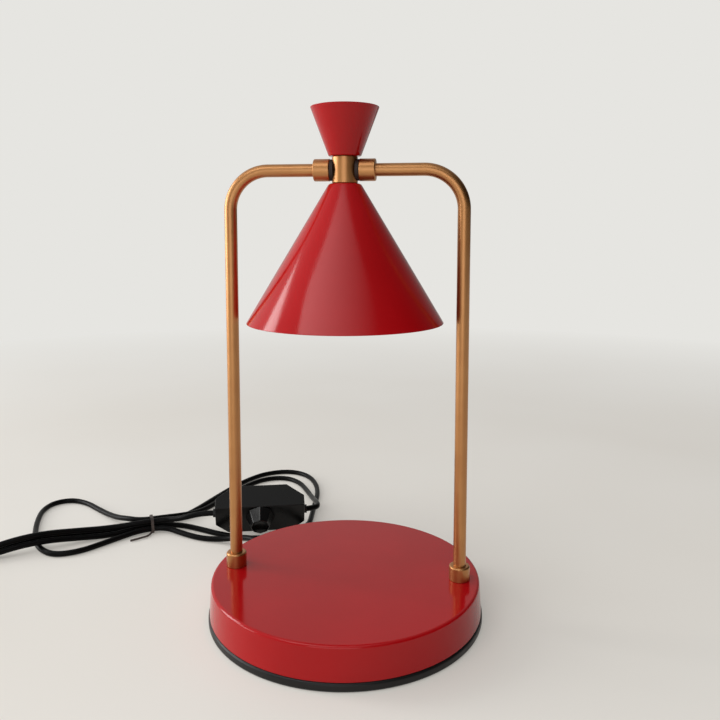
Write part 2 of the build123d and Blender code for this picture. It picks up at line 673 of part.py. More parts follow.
def make_plug():
    place = Pos(plug_x, plug_y, plug_z) * Rot(0, 0, plug_turn)
    cone = Cone(plug_relief_nose, plug_relief_foot, plug_relief_length,
                align=(Align.CENTER, Align.CENTER, Align.MIN))
    nodes["plug_relief"] = place * Rot(0, 90, 0) * cone
    start = plug_relief_length
    end = start + plug_body_length
    plan = make_face(Polyline(
        (start, plug_back_width / 2), (start + plug_shoulder, plug_face_width / 2), (end, plug_face_width / 2),
        (end, -plug_face_width / 2), (start + plug_shoulder, -plug_face_width / 2),
        (start, -plug_back_width / 2), close=True))
    body = Pos(0, 0, -plug_thickness / 2) * extrude(plan, plug_thickness)
    body = fillet(body.edges().filter_by(Axis.Z) + body.faces().sort_by(Axis.Z)[0].edges()
                  + body.faces().sort_by(Axis.Z)[-1].edges(), plug_round)
    nodes["plug_body"] = place * body
    blades = Part()
    for side in (-1, 1):
        blade = Pos(end, side * blade_spacing / 2, 0) * Box(
            blade_length, blade_thickness, blade_width, align=(Align.MIN, Align.CENTER, Align.CENTER))
        blade = chamfer(blade.faces().sort_by(Axis.X)[-1].edges().filter_by(Axis.Y), blade_bevel)
        blades += blade
    nodes["plug_pins"] = place * blades


def make_cords():
    sampled = {}
    for name, points in (("lamp_cord", lamp_cord_points), ("plug_cord", plug_cord_points)):
        radii = round_corners(points)
        nodes[name], path = tube(points, cord_diameter / 2, radii)
        section = math.pi * cord_diameter ** 2 / 4
        print(name, "length", round(path.length, 1), "volume share",
              round(nodes[name].volume / (section * path.length), 4))
        print("  bend radii", [round(radius, 1) for radius in radii])
        count = int(path.length)
        sampled[name] = [path @ (index / count) for index in range(count + 1)]
    for first, second in (("lamp_cord", "lamp_cord"), ("plug_cord", "plug_cord"), ("lamp_cord", "plug_cord")):
        print("least gap", first, second, round(least_gap(sampled[first], sampled[second], first == second), 2))

    centres = [(tie_low_front, tie_low_z), (tie_low_back, tie_low_z),
               (tie_high_back, tie_high_z), (tie_high_front, tie_high_z)]
    hull = make_face(Polyline(*centres, close=True))
    inner = offset(hull, cord_diameter / 2 + tie_room, kind=Kind.ARC)
    outer = offset(hull, cord_diameter / 2 + tie_room + tie_thickness, kind=Kind.ARC)
    heading = Vector(*polar(1, tie_turn))
    side = Vector(*polar(1, tie_turn - 90))
    upright = Plane(origin=(tie_x, tie_y, 0), x_dir=side, z_dir=-heading)
    band = extrude(upright * (outer - inner), tie_width / 2, both=True)
    tail, path = tube(tie_tail_points, tail_radius, round_corners(tie_tail_points))
    nodes["wire_tie"] = band + tail


def least_gap(first, second, same):
    """Room between two cords, or between a cord's own passes more than a few diameters apart."""
    least = math.inf
    for index, here in enumerate(first):
        for other in range(0, len(second)):
            if same and abs(index - other) < cord_diameter * 5:
                continue
            away = (here.X - second[other].X) ** 2 + (here.Y - second[other].Y) ** 2
            least = min(least, away + (here.Z - second[other].Z) ** 2)
    return math.sqrt(least) - cord_diameter


make_base()
make_frame()
make_head()
make_leads()
make_dimmer()
make_plug()
make_cords()

# The clamp is bored along the cord itself, after both are known
first, second = Vector(*lamp_cord_points[0]), Vector(*lamp_cord_points[1])
bore_path = Line(first, first + (second - first).normalized() * grommet_end)
bore = sweep(Plane(origin=bore_path @ 0, z_dir=bore_path % 0) * Circle(cord_diameter / 2 + pass_gap), path=bore_path)
nodes["cord_clamp"] -= bore

os.makedirs("parts", exist_ok=True)
for name, piece in nodes.items():
    solids = piece.solids()
    box = piece.bounding_box()
    print(f"{name:22s} solids {len(solids)} volume {piece.volume:10.1f} "
          f"x {box.min.X:.1f} {box.max.X:.1f} y {box.min.Y:.1f} {box.max.Y:.1f} z {box.min.Z:.2f} {box.max.Z:.2f}")
    export_step(piece, os.path.join("parts", name + ".step"))
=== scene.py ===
import math

import bpy
from mathutils import Matrix, Vector


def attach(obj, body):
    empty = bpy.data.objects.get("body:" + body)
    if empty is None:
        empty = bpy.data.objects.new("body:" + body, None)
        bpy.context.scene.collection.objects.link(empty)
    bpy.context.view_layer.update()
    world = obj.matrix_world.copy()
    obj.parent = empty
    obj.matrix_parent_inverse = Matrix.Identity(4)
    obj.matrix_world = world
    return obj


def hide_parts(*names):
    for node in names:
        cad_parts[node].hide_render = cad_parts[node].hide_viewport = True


# A candle warmer lamp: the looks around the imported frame. Metres, +Z up, the front faces -Y.
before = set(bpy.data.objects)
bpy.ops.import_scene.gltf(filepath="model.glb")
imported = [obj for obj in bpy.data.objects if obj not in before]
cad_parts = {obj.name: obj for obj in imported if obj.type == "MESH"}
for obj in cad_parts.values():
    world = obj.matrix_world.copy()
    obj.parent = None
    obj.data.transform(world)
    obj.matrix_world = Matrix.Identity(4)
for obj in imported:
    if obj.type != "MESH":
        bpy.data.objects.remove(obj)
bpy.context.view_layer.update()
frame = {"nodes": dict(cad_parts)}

MM = 0.001
FULL_TURN = 2 * math.pi
UP = (0, 0, 1)
ALONG_ARM = (1, 0, 0)

# Places closer than this count as one, in metres
NEAR = 1e-6

# Sizes shared with the CAD source, in millimetres: base shell and foot ring
BASE_TOP = 25.5
SHELL_FOOT_RADIUS = 87.5
SHELL_TOP_RADIUS = 86.2
SHELL_WALL = 1.2
RING_RADIUS = 88.2
RING_BORE_RADIUS = 79.0
RING_HEIGHT = 5.4
LEDGE_RADIUS = 84.6
LEDGE_HEIGHT = 3.4

# Posts, arms and ferrules
ARM_HEIGHT = 284.5
ARM_END = 14.4
POST_X = 73.5
POST_FOOT = 16.2
BEND_RADIUS = 24.5
TUBE_RADIUS = 4.0
TUBE_WALL = 0.8
TUBE_SEAT_RADIUS = 4.05
FERRULE_RADIUS = 6.6
FERRULE_TOP = 34.9
FERRULE_CHAMFER = 0.8

# Collars: places along the arm from the hub's middle, and radii round it
COLLAR_START = 9.2
COLLAR_END = 19.3
COLLAR_RADIUS = 6.9
TUBE_SEAT_END = 14.2
NIPPLE_SEAT_RADIUS = 3.05
GROOVE_END = 11.0
GROOVE_RADIUS = 6.4
GROOVE_CORE_RADIUS = 4.4

# Head
HUB_LOW = 276.2
HUB_TOP = 292.8
STEM_HOLE_RADIUS = 4.3
SHADE_RIM = 189.8
SHADE_RIM_RADIUS = 61.9
SHADE_INNER_RIM_RADIUS = 60.73
SHADE_NECK_RADIUS = 9.9
SHADE_INNER_NECK_RADIUS = 9.34
SHADE_CEILING = 275.2
CUP_RIM = 322.6
CUP_RIM_RADIUS = 21.3
CUP_INNER_RIM_RADIUS = 20.23
CUP_NECK_RADIUS = 10.05
CUP_INNER_NECK_RADIUS = 9.43
CUP_FLOOR = 294.0

CORD_DIAMETER = 4.4

# Softened edges: how far they reach along both sides, in millimetres, and their segments
SHELL_TOP_ROUND = (1.7, 8)
SHELL_FOOT_ROUND = (0.5, 4)
RING_ROUND = (1.7, 6)
FERRULE_FOOT_ROUND = (0.4, 3)
FERRULE_TOP_ROUND = (0.3, 3)
COLLAR_ROUND = (0.6, 4)
SHADE_NECK_ROUND = (1.35, 8)
SHADE_CEILING_ROUND = (0.8, 5)
SHADE_RIM_ROUND = (0.45, 4)
CUP_NECK_ROUND = (0.6, 5)
CUP_RIM_ROUND = (0.35, 4)
INNER_RIM_ROUND = (0.3, 3)

# Steps of the turned pieces' full turn, sides of a tube and steps of its bend
LARGE_STEPS = 160
CUP_STEPS = 128
COLLAR_STEPS = 72
FERRULE_STEPS = 64
PLUG_SLEEVE_STEPS = 48
TUBE_SIDES = 48
BEND_STEPS = 28

# Edges sharper than this stay sharp in the shading, in degrees
SMOOTH_BELOW = 32
TUBE_SMOOTH_BELOW = 40

# The part of its range that a noise mostly fills
NOISE_LOW = 0.3
NOISE_HIGH = 0.7


class Value:
    """A node's output that takes part in Python expressions; each operator adds a Math node."""

    def __init__(self, nodes, socket):
        self.nodes = nodes
        self.socket = socket

    def _math(self, operation, first, second):
        return self.nodes.node("ShaderNodeMath", {"operation": operation}, {0: first, 1: second})

    def __add__(self, other):
        return self._math("ADD", self, other)

    def __radd__(self, other):
        return self._math("ADD", other, self)

    def __mul__(self, other):
        return self._math("MULTIPLY", self, other)

    def __rmul__(self, other):
        return self._math("MULTIPLY", other, self)


class Nodes:
    """The nodes of a material, a lamp or the world."""

    def __init__(self, tree):
        self.tree = tree
        tree.nodes.clear()

    def fill(self, socket, value):
        """Gives a socket a value or a link."""
        if isinstance(value, Value):
            self.tree.links.new(value.socket, socket)
        else:
            socket.default_value = value

    def node(self, kind, settings, values, output=0):
        """Adds a node: its settings first, then the values or links of its sockets."""
        made = self.tree.nodes.new(kind)
        for key, setting in settings.items():
            setattr(made, key, setting)
        for socket, value in values.items():
            self.fill(made.inputs[socket], value)
        return Value(self, made.outputs[output]) if made.outputs else None

    def coordinates(self):
        return self.node("ShaderNodeTexCoord", {}, {}, "Object")

    def ray(self, kind):
        """1 for rays of one kind, 0 for the others."""
        return self.node("ShaderNodeLightPath", {}, {}, kind)

    def noise(self, scale, detail, rough=0.5):
        """A soft noise from 0 to 1, with a size in cycles per metre."""
        return self.node("ShaderNodeTexNoise", {}, {
            "Vector": self.coordinates(), "Scale": scale, "Detail": detail, "Roughness": rough})

    def span(self, amount, start, end, low, high):
        """A number that runs from low to high as amount runs from start to end, held inside them."""
        return self.node("ShaderNodeMapRange", {"clamp": True}, {
            "Value": amount, "From Min": start, "From Max": end, "To Min": low, "To Max": high})

    def between(self, noise, low, high):
        """A number that runs from low to high over a noise's range."""
        return self.span(noise, NOISE_LOW, NOISE_HIGH, low, high)

    def tones(self, noise, dark, light):
        """A colour between two of screen values, over a noise's range."""
        return self.node("ShaderNodeMix", {"data_type": "RGBA"}, {
            "Factor": self.between(noise, 0.0, 1.0), 6: linear(*dark), 7: linear(*light)}, 2)

    def mix(self, amount, first, second):
        """The first shader where amount is 0, the second where it is 1."""
        return self.node("ShaderNodeMixShader", {}, {0: amount, 1: first, 2: second})


class Finish(Nodes):
    """One material: a Principled shader and the nodes that feed it."""

    def __init__(self, name, **constants):
        self.material = bpy.data.materials.new(name)
        self.material.use_nodes = True
        super().__init__(self.material.node_tree)
        values = {socket.replace("_", " "): value for socket, value in constants.items()}
        surface = self.node("ShaderNodeBsdfPrincipled", {}, values)
        self.shader = surface.socket.node
        self.node("ShaderNodeOutputMaterial", {}, {"Surface": surface})

    def set(self, socket, value):
        """Gives one of the shader's sockets a link."""
        self.fill(self.shader.inputs[socket], value)

    def bump(self, height, distance, strength):
        self.set("Normal", self.node("ShaderNodeBump", {}, {
            "Height": height, "Distance": distance, "Strength": strength}))


def linear(red, green, blue):
    """A colour from its screen values of 0 to 255."""
    def one(value):
        share = value / 255
        return share / 12.92 if share <= 0.04045 else ((share + 0.055) / 1.055) ** 2.4
    return one(red), one(green), one(blue), 1


def make_red_gloss():
    """Sprayed enamel: an even red with a fine orange peel and a faint haze."""
    finish = Finish("red_gloss", IOR=1.36)
    cloud = finish.noise(18, detail=3)
    haze = finish.noise(35, detail=4, rough=0.6)
    peel = finish.noise(700, detail=2, rough=0.4)
    finish.set("Base Color", finish.tones(cloud, (164, 10, 16), (174, 13, 20)))
    finish.set("Roughness", finish.between(haze, 0.1, 0.16))
    finish.bump(peel, distance=0.00002, strength=0.16)
    return finish.material


def make_copper_satin():
    """Satin copper-coloured plating under a thin lacquer, with a few duller patches."""
    finish = Finish("copper_satin", Metallic=1.0, Coat_Roughness=0.2)
    patch = finish.noise(45, detail=4, rough=0.55)
    grain = finish.noise(2600, detail=3, rough=0.6)
    finish.set("Base Color", finish.tones(patch, (180, 124, 74), (192, 138, 86)))
    finish.set("Roughness", finish.between(grain * 0.5 + patch * 0.5, 0.36, 0.46))
    finish.set("Coat Weight", finish.between(patch, 0.4, 0.28))
    finish.bump(grain, distance=0.00001, strength=0.1)
    return finish.material


def make_bulb_glass():
    """The bulb's pressed front glass, with small dimples."""
    finish = Finish("bulb_glass", Transmission_Weight=0.85, IOR=1.5)
    tone = finish.noise(300, detail=2)
    dimple = finish.node("ShaderNodeTexVoronoi", {}, {"Vector": finish.coordinates(), "Scale": 320.0})
    finish.set("Base Color", finish.tones(tone, (236, 236, 232), (250, 250, 246)))
    finish.set("Roughness", finish.between(tone, 0.12, 0.22))
    finish.bump(dimple, distance=0.0004, strength=0.7)
    return finish.material


def make_grained(name, dark, light, smooth, dull, wear=160, detail=4, grain=1280, depth=0.00002,
                 strength=0.5, **constants):
    """A finish of one family: two close tones and two roughnesses by its wear, and a fine grain."""
    finish = Finish(name, **constants)
    tone = finish.noise(wear, detail, rough=0.6)
    finish.set("Base Color", finish.tones(tone, dark, light))
    finish.set("Roughness", finish.between(tone, smooth, dull))
    finish.bump(finish.noise(grain, detail=2), depth, strength)
    return finish.material


# Tones and roughnesses of the grained finishes, with what sets some of them apart
GRAINED = {
    "black_rubber": ((9, 9, 10), (17, 16, 16), 0.36, 0.5, {
        "wear": 120, "grain": 1500, "depth": 0.00003, "strength": 0.4, "IOR": 1.4}),
    "cord_sleeve": ((5, 5, 6), (10, 9, 9), 0.3, 0.42, {
        "wear": 90, "detail": 3, "grain": 1800, "depth": 0.00003, "strength": 0.3, "IOR": 1.18}),
    "black_plastic": ((5, 5, 6), (9, 9, 10), 0.24, 0.34, {
        "wear": 70, "grain": 2600, "depth": 0.00004, "IOR": 1.34}),
    "black_grip": ((8, 8, 9), (13, 13, 13), 0.14, 0.22, {}),
    "zinc_steel": ((150, 152, 154), (186, 186, 184), 0.28, 0.42, {"Metallic": 1.0}),
    "cast_iron": ((44, 44, 46), (66, 65, 64), 0.6, 0.8, {
        "wear": 220, "grain": 1760, "depth": 0.0002, "Metallic": 0.6}),
    "brown_fibre": ((30, 16, 12), (44, 25, 18), 0.6, 0.75, {}),
    "pale_plastic": ((214, 210, 198), (228, 225, 214), 0.4, 0.52, {}),
    "tie_wire": ((44, 36, 34), (78, 66, 60), 0.4, 0.55, {}),
    "lead_sleeve": ((196, 190, 178), (212, 208, 196), 0.45, 0.6, {}),
    "white_ceramic": ((222, 218, 208), (236, 233, 226), 0.38, 0.5, {}),
    "bulb_mirror": ((206, 208, 212), (226, 228, 230), 0.08, 0.16, {"Metallic": 1.0}),
    "plain_brass": ((188, 150, 80), (206, 172, 100), 0.24, 0.36, {"Metallic": 1.0}),
    "board_green": ((26, 72, 44), (36, 92, 56), 0.4, 0.55, {}),
}

FINISHES = {
    "red_gloss": make_red_gloss(),
    "copper_satin": make_copper_satin(),
    "bulb_glass": make_bulb_glass(),
}
for family, (*looks, extras) in GRAINED.items():
    FINISHES[family] = make_grained(family, *looks, **extras)


def dress(piece, finish):
    piece.data.materials.clear()
    piece.data.materials.append(FINISHES[finish])


def seat(piece, finish, body, slot, *nodes):
    """Gives a piece its finish and its body and hides the CAD nodes it stands for; its slot is not used."""
    dress(piece, finish)
    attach(piece, body)
    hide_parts(*nodes)
    return piece


def begin(name, add, **sizes):
    """Adds a primitive with nothing else selected, names it and opens it in edit mode."""
    bpy.ops.object.select_all(action="DESELECT")
    add(**sizes)
    piece = bpy.context.object
    piece.name = name
    piece.data.name = name
    bpy.ops.object.mode_set(mode="EDIT")
    bpy.ops.mesh.select_all(action="SELECT")
    return piece


def pick(test):
    """Selects the vertices of the piece in edit mode whose place passes a test."""
    piece = bpy.context.object
    bpy.ops.mesh.select_mode(type="VERT")
    bpy.ops.mesh.select_all(action="DESELECT")
    bpy.ops.object.mode_set(mode="OBJECT")
    for vertex in piece.data.vertices:
        vertex.select = bool(test(vertex.co))
    bpy.ops.object.mode_set(mode="EDIT")


def trace(outline):
    """Draws a closed outline on the XZ plane with the selected vertex, and softens its rounded corners."""
    spots = [Vector((x * MM, 0, z * MM)) for x, z, *rounds in outline]
    bpy.ops.transform.translate(value=spots[0])
    for before, after in zip(spots, spots[1:]):
        bpy.ops.mesh.extrude_vertices_move(TRANSFORM_OT_translate={"value": after - before})
    pick(lambda place: min((place - spots[0]).length, (place - spots[-1]).length) < NEAR)
    bpy.ops.mesh.edge_face_add()
    for spot, (x, z, *rounds) in zip(spots, outline):
        for reach, segments in rounds:
            pick(lambda place: (place - spot).length < NEAR)
            bpy.ops.mesh.bevel(offset=reach * MM, offset_type="OFFSET", segments=segments,
                               profile=0.5, affect="VERTICES")


def close_up():
    """Merges doubled vertices and turns the faces outwards."""
    bpy.ops.mesh.select_all(action="SELECT")
    bpy.ops.mesh.remove_doubles(threshold=NEAR)
    bpy.ops.mesh.normals_make_consistent(inside=False)


def finish_shape():
    """Leaves edit mode with smooth shading, in which large faces outweigh the narrow ones of soft edges."""
    bpy.ops.object.mode_set(mode="OBJECT")
    bpy.ops.object.shade_smooth_by_angle(angle=math.radians(SMOOTH_BELOW))
    firm = bpy.context.object.modifiers.new("firm", "WEIGHTED_NORMAL")
    firm.weight = 100
    firm.keep_sharp = True
    bpy.ops.object.modifier_apply(modifier="firm")


def turned_piece(name, outline, steps, axis=UP, centre=(0, 0, 0)):
    """A piece spun from an outline of (x, z) points in millimetres, with a rounding where an edge is soft."""
    piece = begin(name, bpy.ops.mesh.primitive_plane_add, size=MM)
    bpy.ops.mesh.merge(type="CENTER")
    trace(outline)
    bpy.ops.mesh.select_all(action="SELECT")
    bpy.ops.mesh.spin(steps=steps, angle=FULL_TURN, center=centre, axis=axis)
    close_up()
    finish_shape()
    return piece


def make_base():
    """The enamelled shell of the base and the rubber ring that it stands on."""
    ceiling = BASE_TOP - SHELL_WALL
    shell = turned_piece("base_enamel", [
        (SHELL_FOOT_RADIUS - SHELL_WALL, RING_HEIGHT),
        (SHELL_FOOT_RADIUS, RING_HEIGHT, SHELL_FOOT_ROUND),
        (SHELL_TOP_RADIUS, BASE_TOP, SHELL_TOP_ROUND),
        (0, BASE_TOP),
        (0, ceiling),
        (SHELL_TOP_RADIUS - SHELL_WALL, ceiling),
    ], LARGE_STEPS)
    seat(shell, "red_gloss", "frame", "red_gloss", "base_shell")
    ring = turned_piece("foot_rubber", [
        (RING_BORE_RADIUS, 0),
        (RING_RADIUS, 0, RING_ROUND),
        (RING_RADIUS, RING_HEIGHT, RING_ROUND),
        (LEDGE_RADIUS, RING_HEIGHT),
        (LEDGE_RADIUS, LEDGE_HEIGHT),
        (RING_BORE_RADIUS, LEDGE_HEIGHT),
    ], LARGE_STEPS)
    seat(ring, "black_rubber", "frame", "black_rubber", "foot_ring")


def make_tube(side, name):
    """A post bent into its arm: a circle pushed up, spun through the bend and pushed along."""
    bend_x = POST_X - BEND_RADIUS
    bend_height = ARM_HEIGHT - BEND_RADIUS
    tube = begin(name, bpy.ops.mesh.primitive_circle_add,
                 vertices=TUBE_SIDES, radius=TUBE_RADIUS * MM, fill_type="NOTHING")
    bpy.ops.transform.translate(value=(side * POST_X * MM, 0, POST_FOOT * MM))
    rise = (0, 0, (bend_height - POST_FOOT) * MM)
    bpy.ops.mesh.extrude_region_move(TRANSFORM_OT_translate={"value": rise})
    bpy.ops.mesh.spin(steps=BEND_STEPS, angle=FULL_TURN / 4, axis=(0, side, 0),
                      center=(side * bend_x * MM, 0, bend_height * MM))
    run = (-side * (bend_x - ARM_END) * MM, 0, 0)
    bpy.ops.mesh.extrude_region_move(TRANSFORM_OT_translate={"value": run})
    close_up()
    bpy.ops.object.mode_set(mode="OBJECT")
    wall = tube.modifiers.new("wall", "SOLIDIFY")
    wall.thickness = TUBE_WALL * MM
    wall.offset = -1
    bpy.ops.object.modifier_apply(modifier="wall")
    bpy.ops.object.shade_smooth_by_angle(angle=math.radians(TUBE_SMOOTH_BELOW))
    return tube


def make_posts():
    """The two bent tubes, each with the ferrule at its foot."""
    outline = [
        (TUBE_SEAT_RADIUS, BASE_TOP),
        (FERRULE_RADIUS, BASE_TOP, FERRULE_FOOT_ROUND),
        (FERRULE_RADIUS, FERRULE_TOP - FERRULE_CHAMFER, FERRULE_TOP_ROUND),
        (FERRULE_RADIUS - FERRULE_CHAMFER, FERRULE_TOP, FERRULE_TOP_ROUND),
        (TUBE_SEAT_RADIUS, FERRULE_TOP),
    ]
    for side, word in ((-1, "left"), (1, "right")):
        tube = make_tube(side, word + "_post")
        seat(tube, "copper_satin", "frame", "copper_satin", word + "_tube")
        ferrule = turned_piece(word + "_ferrule", outline, FERRULE_STEPS)
        ferrule.data.transform(Matrix.Translation((side * POST_X * MM, 0, 0)))
        seat(ferrule, "copper_satin", "frame", "copper_satin", word + "_base_ferrule")


def make_collars():
    """The two collars that hold the hub; the right one has the groove of the stop pin."""
    outside = [
        (COLLAR_END, TUBE_SEAT_RADIUS),
        (COLLAR_END, COLLAR_RADIUS, COLLAR_ROUND),
        (COLLAR_START, COLLAR_RADIUS, COLLAR_ROUND),
    ]
    groove = [
        (COLLAR_START, GROOVE_RADIUS),
        (GROOVE_END, GROOVE_RADIUS),
        (GROOVE_END, GROOVE_CORE_RADIUS),
        (COLLAR_START, GROOVE_CORE_RADIUS),
    ]
    inside = [
        (COLLAR_START, NIPPLE_SEAT_RADIUS),
        (TUBE_SEAT_END, NIPPLE_SEAT_RADIUS),
        (TUBE_SEAT_END, TUBE_SEAT_RADIUS),
    ]
    for side, word, outline in ((-1, "left", outside + inside), (1, "right", outside + groove + inside)):
        placed = [(side * along, ARM_HEIGHT + radius, *rounds) for along, radius, *rounds in outline]
        collar = turned_piece(word + "_collar", placed, COLLAR_STEPS, ALONG_ARM, (0, 0, ARM_HEIGHT * MM))
        seat(collar, "copper_satin", "frame", "copper_satin", word + "_hub_collar")


def make_head():
    """The cone shade under the hub and the small cone cup above it."""
    shade = turned_piece("shade_enamel", [
        (STEM_HOLE_RADIUS, HUB_LOW),
        (SHADE_NECK_RADIUS, HUB_LOW, SHADE_NECK_ROUND),
        (SHADE_RIM_RADIUS, SHADE_RIM, SHADE_RIM_ROUND),
        (SHADE_INNER_RIM_RADIUS, SHADE_RIM, INNER_RIM_ROUND),
        (SHADE_INNER_NECK_RADIUS, SHADE_CEILING, SHADE_CEILING_ROUND),
        (STEM_HOLE_RADIUS, SHADE_CEILING),
    ], LARGE_STEPS)
    seat(shade, "red_gloss", "head", "red_gloss", "shade")
    cup = turned_piece("cup_enamel", [
        (STEM_HOLE_RADIUS, HUB_TOP),
        (CUP_NECK_RADIUS, HUB_TOP, CUP_NECK_ROUND),
        (CUP_RIM_RADIUS, CUP_RIM, CUP_RIM_ROUND),
        (CUP_INNER_RIM_RADIUS, CUP_RIM, INNER_RIM_ROUND),
        (CUP_INNER_NECK_RADIUS, CUP_FLOOR),
        (STEM_HOLE_RADIUS, CUP_FLOOR),
    ], CUP_STEPS)
    seat(cup, "red_gloss", "head", "red_gloss", "upper_cup")


# The routes of the cords as control points, in millimetres: from the base to the dimmer
LAMP_CORD = [
    (-40.21, 31.21, 13.8), (-55.2, 46.3, 13.8), (-81.2, 68.2, 13.8), (-98.4, 81.8, 7.4),
    (-114.4, 86.2, 3.0), (-131.0, 87.6, 2.3), (-148.4, 94.0, 2.7), (-166.8, 101.6, 3.9),
    (-183.6, 92.4, 3.8), (-193.4, 82.4, 2.7), (-204.0, 67.6, 2.3), (-214.4, 52.2, 2.3), (-230.6, 43.6, 2.3),
    (-246.6, 51.6, 2.3), (-259.4, 66.4, 2.3), (-270.0, 83.4, 2.3), (-280.4, 103.8, 2.3),
    (-288.6, 124.6, 2.3), (-288.2, 142.6, 2.3), (-275.4, 151.6, 2.3), (-258.4, 146.4, 2.3),
    (-241.4, 134.0, 2.3), (-225.4, 121.8, 3.2), (-211.4, 110.6, 5.8), (-199.4, 103.6, 8.4),
    (-186.8, 100.6, 8.8), (-170.6, 109.4, 8.7), (-160.6, 120.6, 6.4), (-150.8, 137.4, 3.2),
    (-143.6, 160.0, 2.3), (-136.6, 185.4, 2.3), (-128.6, 210.6, 2.3), (-115.4, 230.6, 2.3),
    (-96.4, 236.4, 2.3), (-80.6, 225.0, 2.3), (-69.6, 204.4, 3.2), (-62.4, 186.4, 5.4), (-57.0, 170.4, 9.0),
    (-52.2, 156.2, 12.4), (-48.2, 143.8, 15.4), (-44.4, 133.2, 17.2), (-44.4, 125.4, 17.79),
    (-51.72, 121.76, 17.79),
]
# From the dimmer to the plug
PLUG_CORD = [
    (-125.18, 102.07, 17.79), (-134.04, 99.7, 17.79), (-144.6, 99.0, 15.2), (-156.0, 101.4, 11.2),
    (-168.4, 104.4, 8.9), (-185.4, 94.9, 8.8), (-206.0, 85.5, 7.5), (-226.5, 73.0, 9.4),
    (-244.5, 59.4, 12.1), (-259.5, 47.6, 12.1), (-273.5, 37.6, 9.6), (-283.4, 30.8, 6.4),
    (-294.6, 20.4, 3.0), (-302.4, 5.6, 2.3), (-310.2, -9.8, 2.3), (-324.7, -15.0, 2.3), (-339.2, -6.0, 2.3),
    (-341.4, 11.8, 2.3), (-329.0, 25.6, 2.3), (-311.4, 30.6, 2.3), (-294.4, 33.4, 2.7), (-277.2, 39.6, 5.0),
    (-261.0, 49.8, 7.3), (-246.2, 61.7, 7.3), (-228.1, 75.4, 4.6), (-207.6, 88.2, 2.5),
    (-189.4, 101.2, 3.8), (-172.0, 111.2, 3.8), (-163.2, 124.4, 2.4), (-155.6, 143.4, 2.3),
    (-149.4, 168.6, 2.3), (-142.2, 196.4, 2.3), (-133.0, 224.0, 2.3), (-119.0, 246.6, 2.3),
    (-96.6, 256.2, 2.3), (-76.4, 246.0, 2.3), (-63.4, 222.6, 2.3), (-56.6, 195.0, 2.3), (-54.6, 168.6, 2.3),
    (-52.4, 146.4, 2.3), (-50.6, 125.0, 2.3), (-58.6, 108.4, 2.3), (-73.6, 97.2, 2.3), (-90.6, 92.6, 2.3),
    (-106.4, 94.2, 2.3), (-121.4, 98.6, 2.3), (-137.4, 104.8, 2.3), (-153.4, 109.4, 2.7),
    (-169.4, 106.6, 3.8), (-186.6, 97.0, 3.8), (-204.4, 82.8, 2.5), (-225.0, 70.2, 4.6),
    (-243.0, 56.8, 7.3), (-257.8, 45.2, 7.3), (-271.8, 34.8, 5.2), (-283.4, 23.8, 3.0), (-289.8, 10.4, 3.6),
    (-292.6, -4.2, 8.0), (-294.2, -15.2, 8.0),
]


def lying(spot, heading, lean):
    """A place on the table: a spot in millimetres, with a heading and a lean in degrees."""
    return (Matrix.Translation([value * MM for value in spot])
            @ Matrix.Rotation(math.radians(heading), 4, "Z")
            @ Matrix.Rotation(math.radians(lean), 4, "X"))


DIMMER_PLACE = lying((-88.9, 113.6, -0.15), heading=15, lean=25)
PLUG_PLACE = lying(PLUG_CORD[-1], heading=-98.28, lean=0)


def make_knob():
    """The dimmer's eight-sided grip, with softened edges and a shallow dish in its end."""
    foot_radius, tip_radius, height = 12.0, 7.5, 11.0
    soft_edge, dish_margin, dish_depth = 0.5, 1.1, 0.4
    case_gap, case_middle = 0.5, 17.0
    grip = begin("dimmer_grip", bpy.ops.mesh.primitive_cone_add, vertices=8,
                 radius1=foot_radius * MM, radius2=tip_radius * MM, depth=height * MM)
    bpy.ops.mesh.bevel(offset=soft_edge * MM, segments=4, affect="EDGES")
    pick(lambda place: place.z > height / 2 * MM - NEAR)
    bpy.ops.mesh.inset(thickness=dish_margin * MM, depth=-dish_depth * MM)
    finish_shape()
    out = Matrix.Translation((0, -(case_gap + height / 2) * MM, case_middle * MM))
    grip.data.transform(DIMMER_PLACE @ out @ Matrix.Rotation(FULL_TURN / 4, 4, "X"))
    seat(grip, "black_grip", "knob", "black_plastic", "dimmer_knob")


def make_plug_relief():
    """The plug's bend relief: a tapered sleeve with ribs."""
    length, bore_radius, nose_radius, foot_radius = 20.0, 2.25, 3.0, 5.2
    ribs, groove_depth = 7, 0.7
    pitch = length / (ribs + 0.5)
    groove = ((0.15, 0), (0.3, groove_depth), (0.85, groove_depth), (1.0, 0))
    outline = [(0, bore_radius), (0, nose_radius)]
    for index in range(ribs):
        for share, depth in groove:
            along = pitch * (index + share)
            taper = (foot_radius - nose_radius) * along / length
            outline.append((along, nose_radius + taper - depth))
    outline += [(length, foot_radius), (length, bore_radius)]
    relief = turned_piece("plug_sleeve", outline, PLUG_SLEEVE_STEPS, ALONG_ARM)
    relief.data.transform(PLUG_PLACE)
    return seat(relief, "black_rubber", "frame", "black_rubber", "plug_relief")


def lay_cord(name, route, node):
    """A cord as one smooth spline with the route's points as its control points."""
    line = bpy.data.curves.new(name, "CURVE")
    line.dimensions = "3D"
    spline = line.splines.new("NURBS")
    spline.points.add(len(route) - 1)
    for point, spot in zip(spline.points, route):
        point.co = (*(value * MM for value in spot), 1)
    spline.order_u = 3
    spline.use_endpoint_u = True
    spline.resolution_u = 10
    line.bevel_depth = CORD_DIAMETER / 2 * MM
    line.bevel_resolution = 7
    line.use_fill_caps = True
    cord = bpy.data.objects.new(name, line)
    bpy.context.scene.collection.objects.link(cord)
    return seat(cord, "cord_sleeve", "frame", "black_rubber", node)


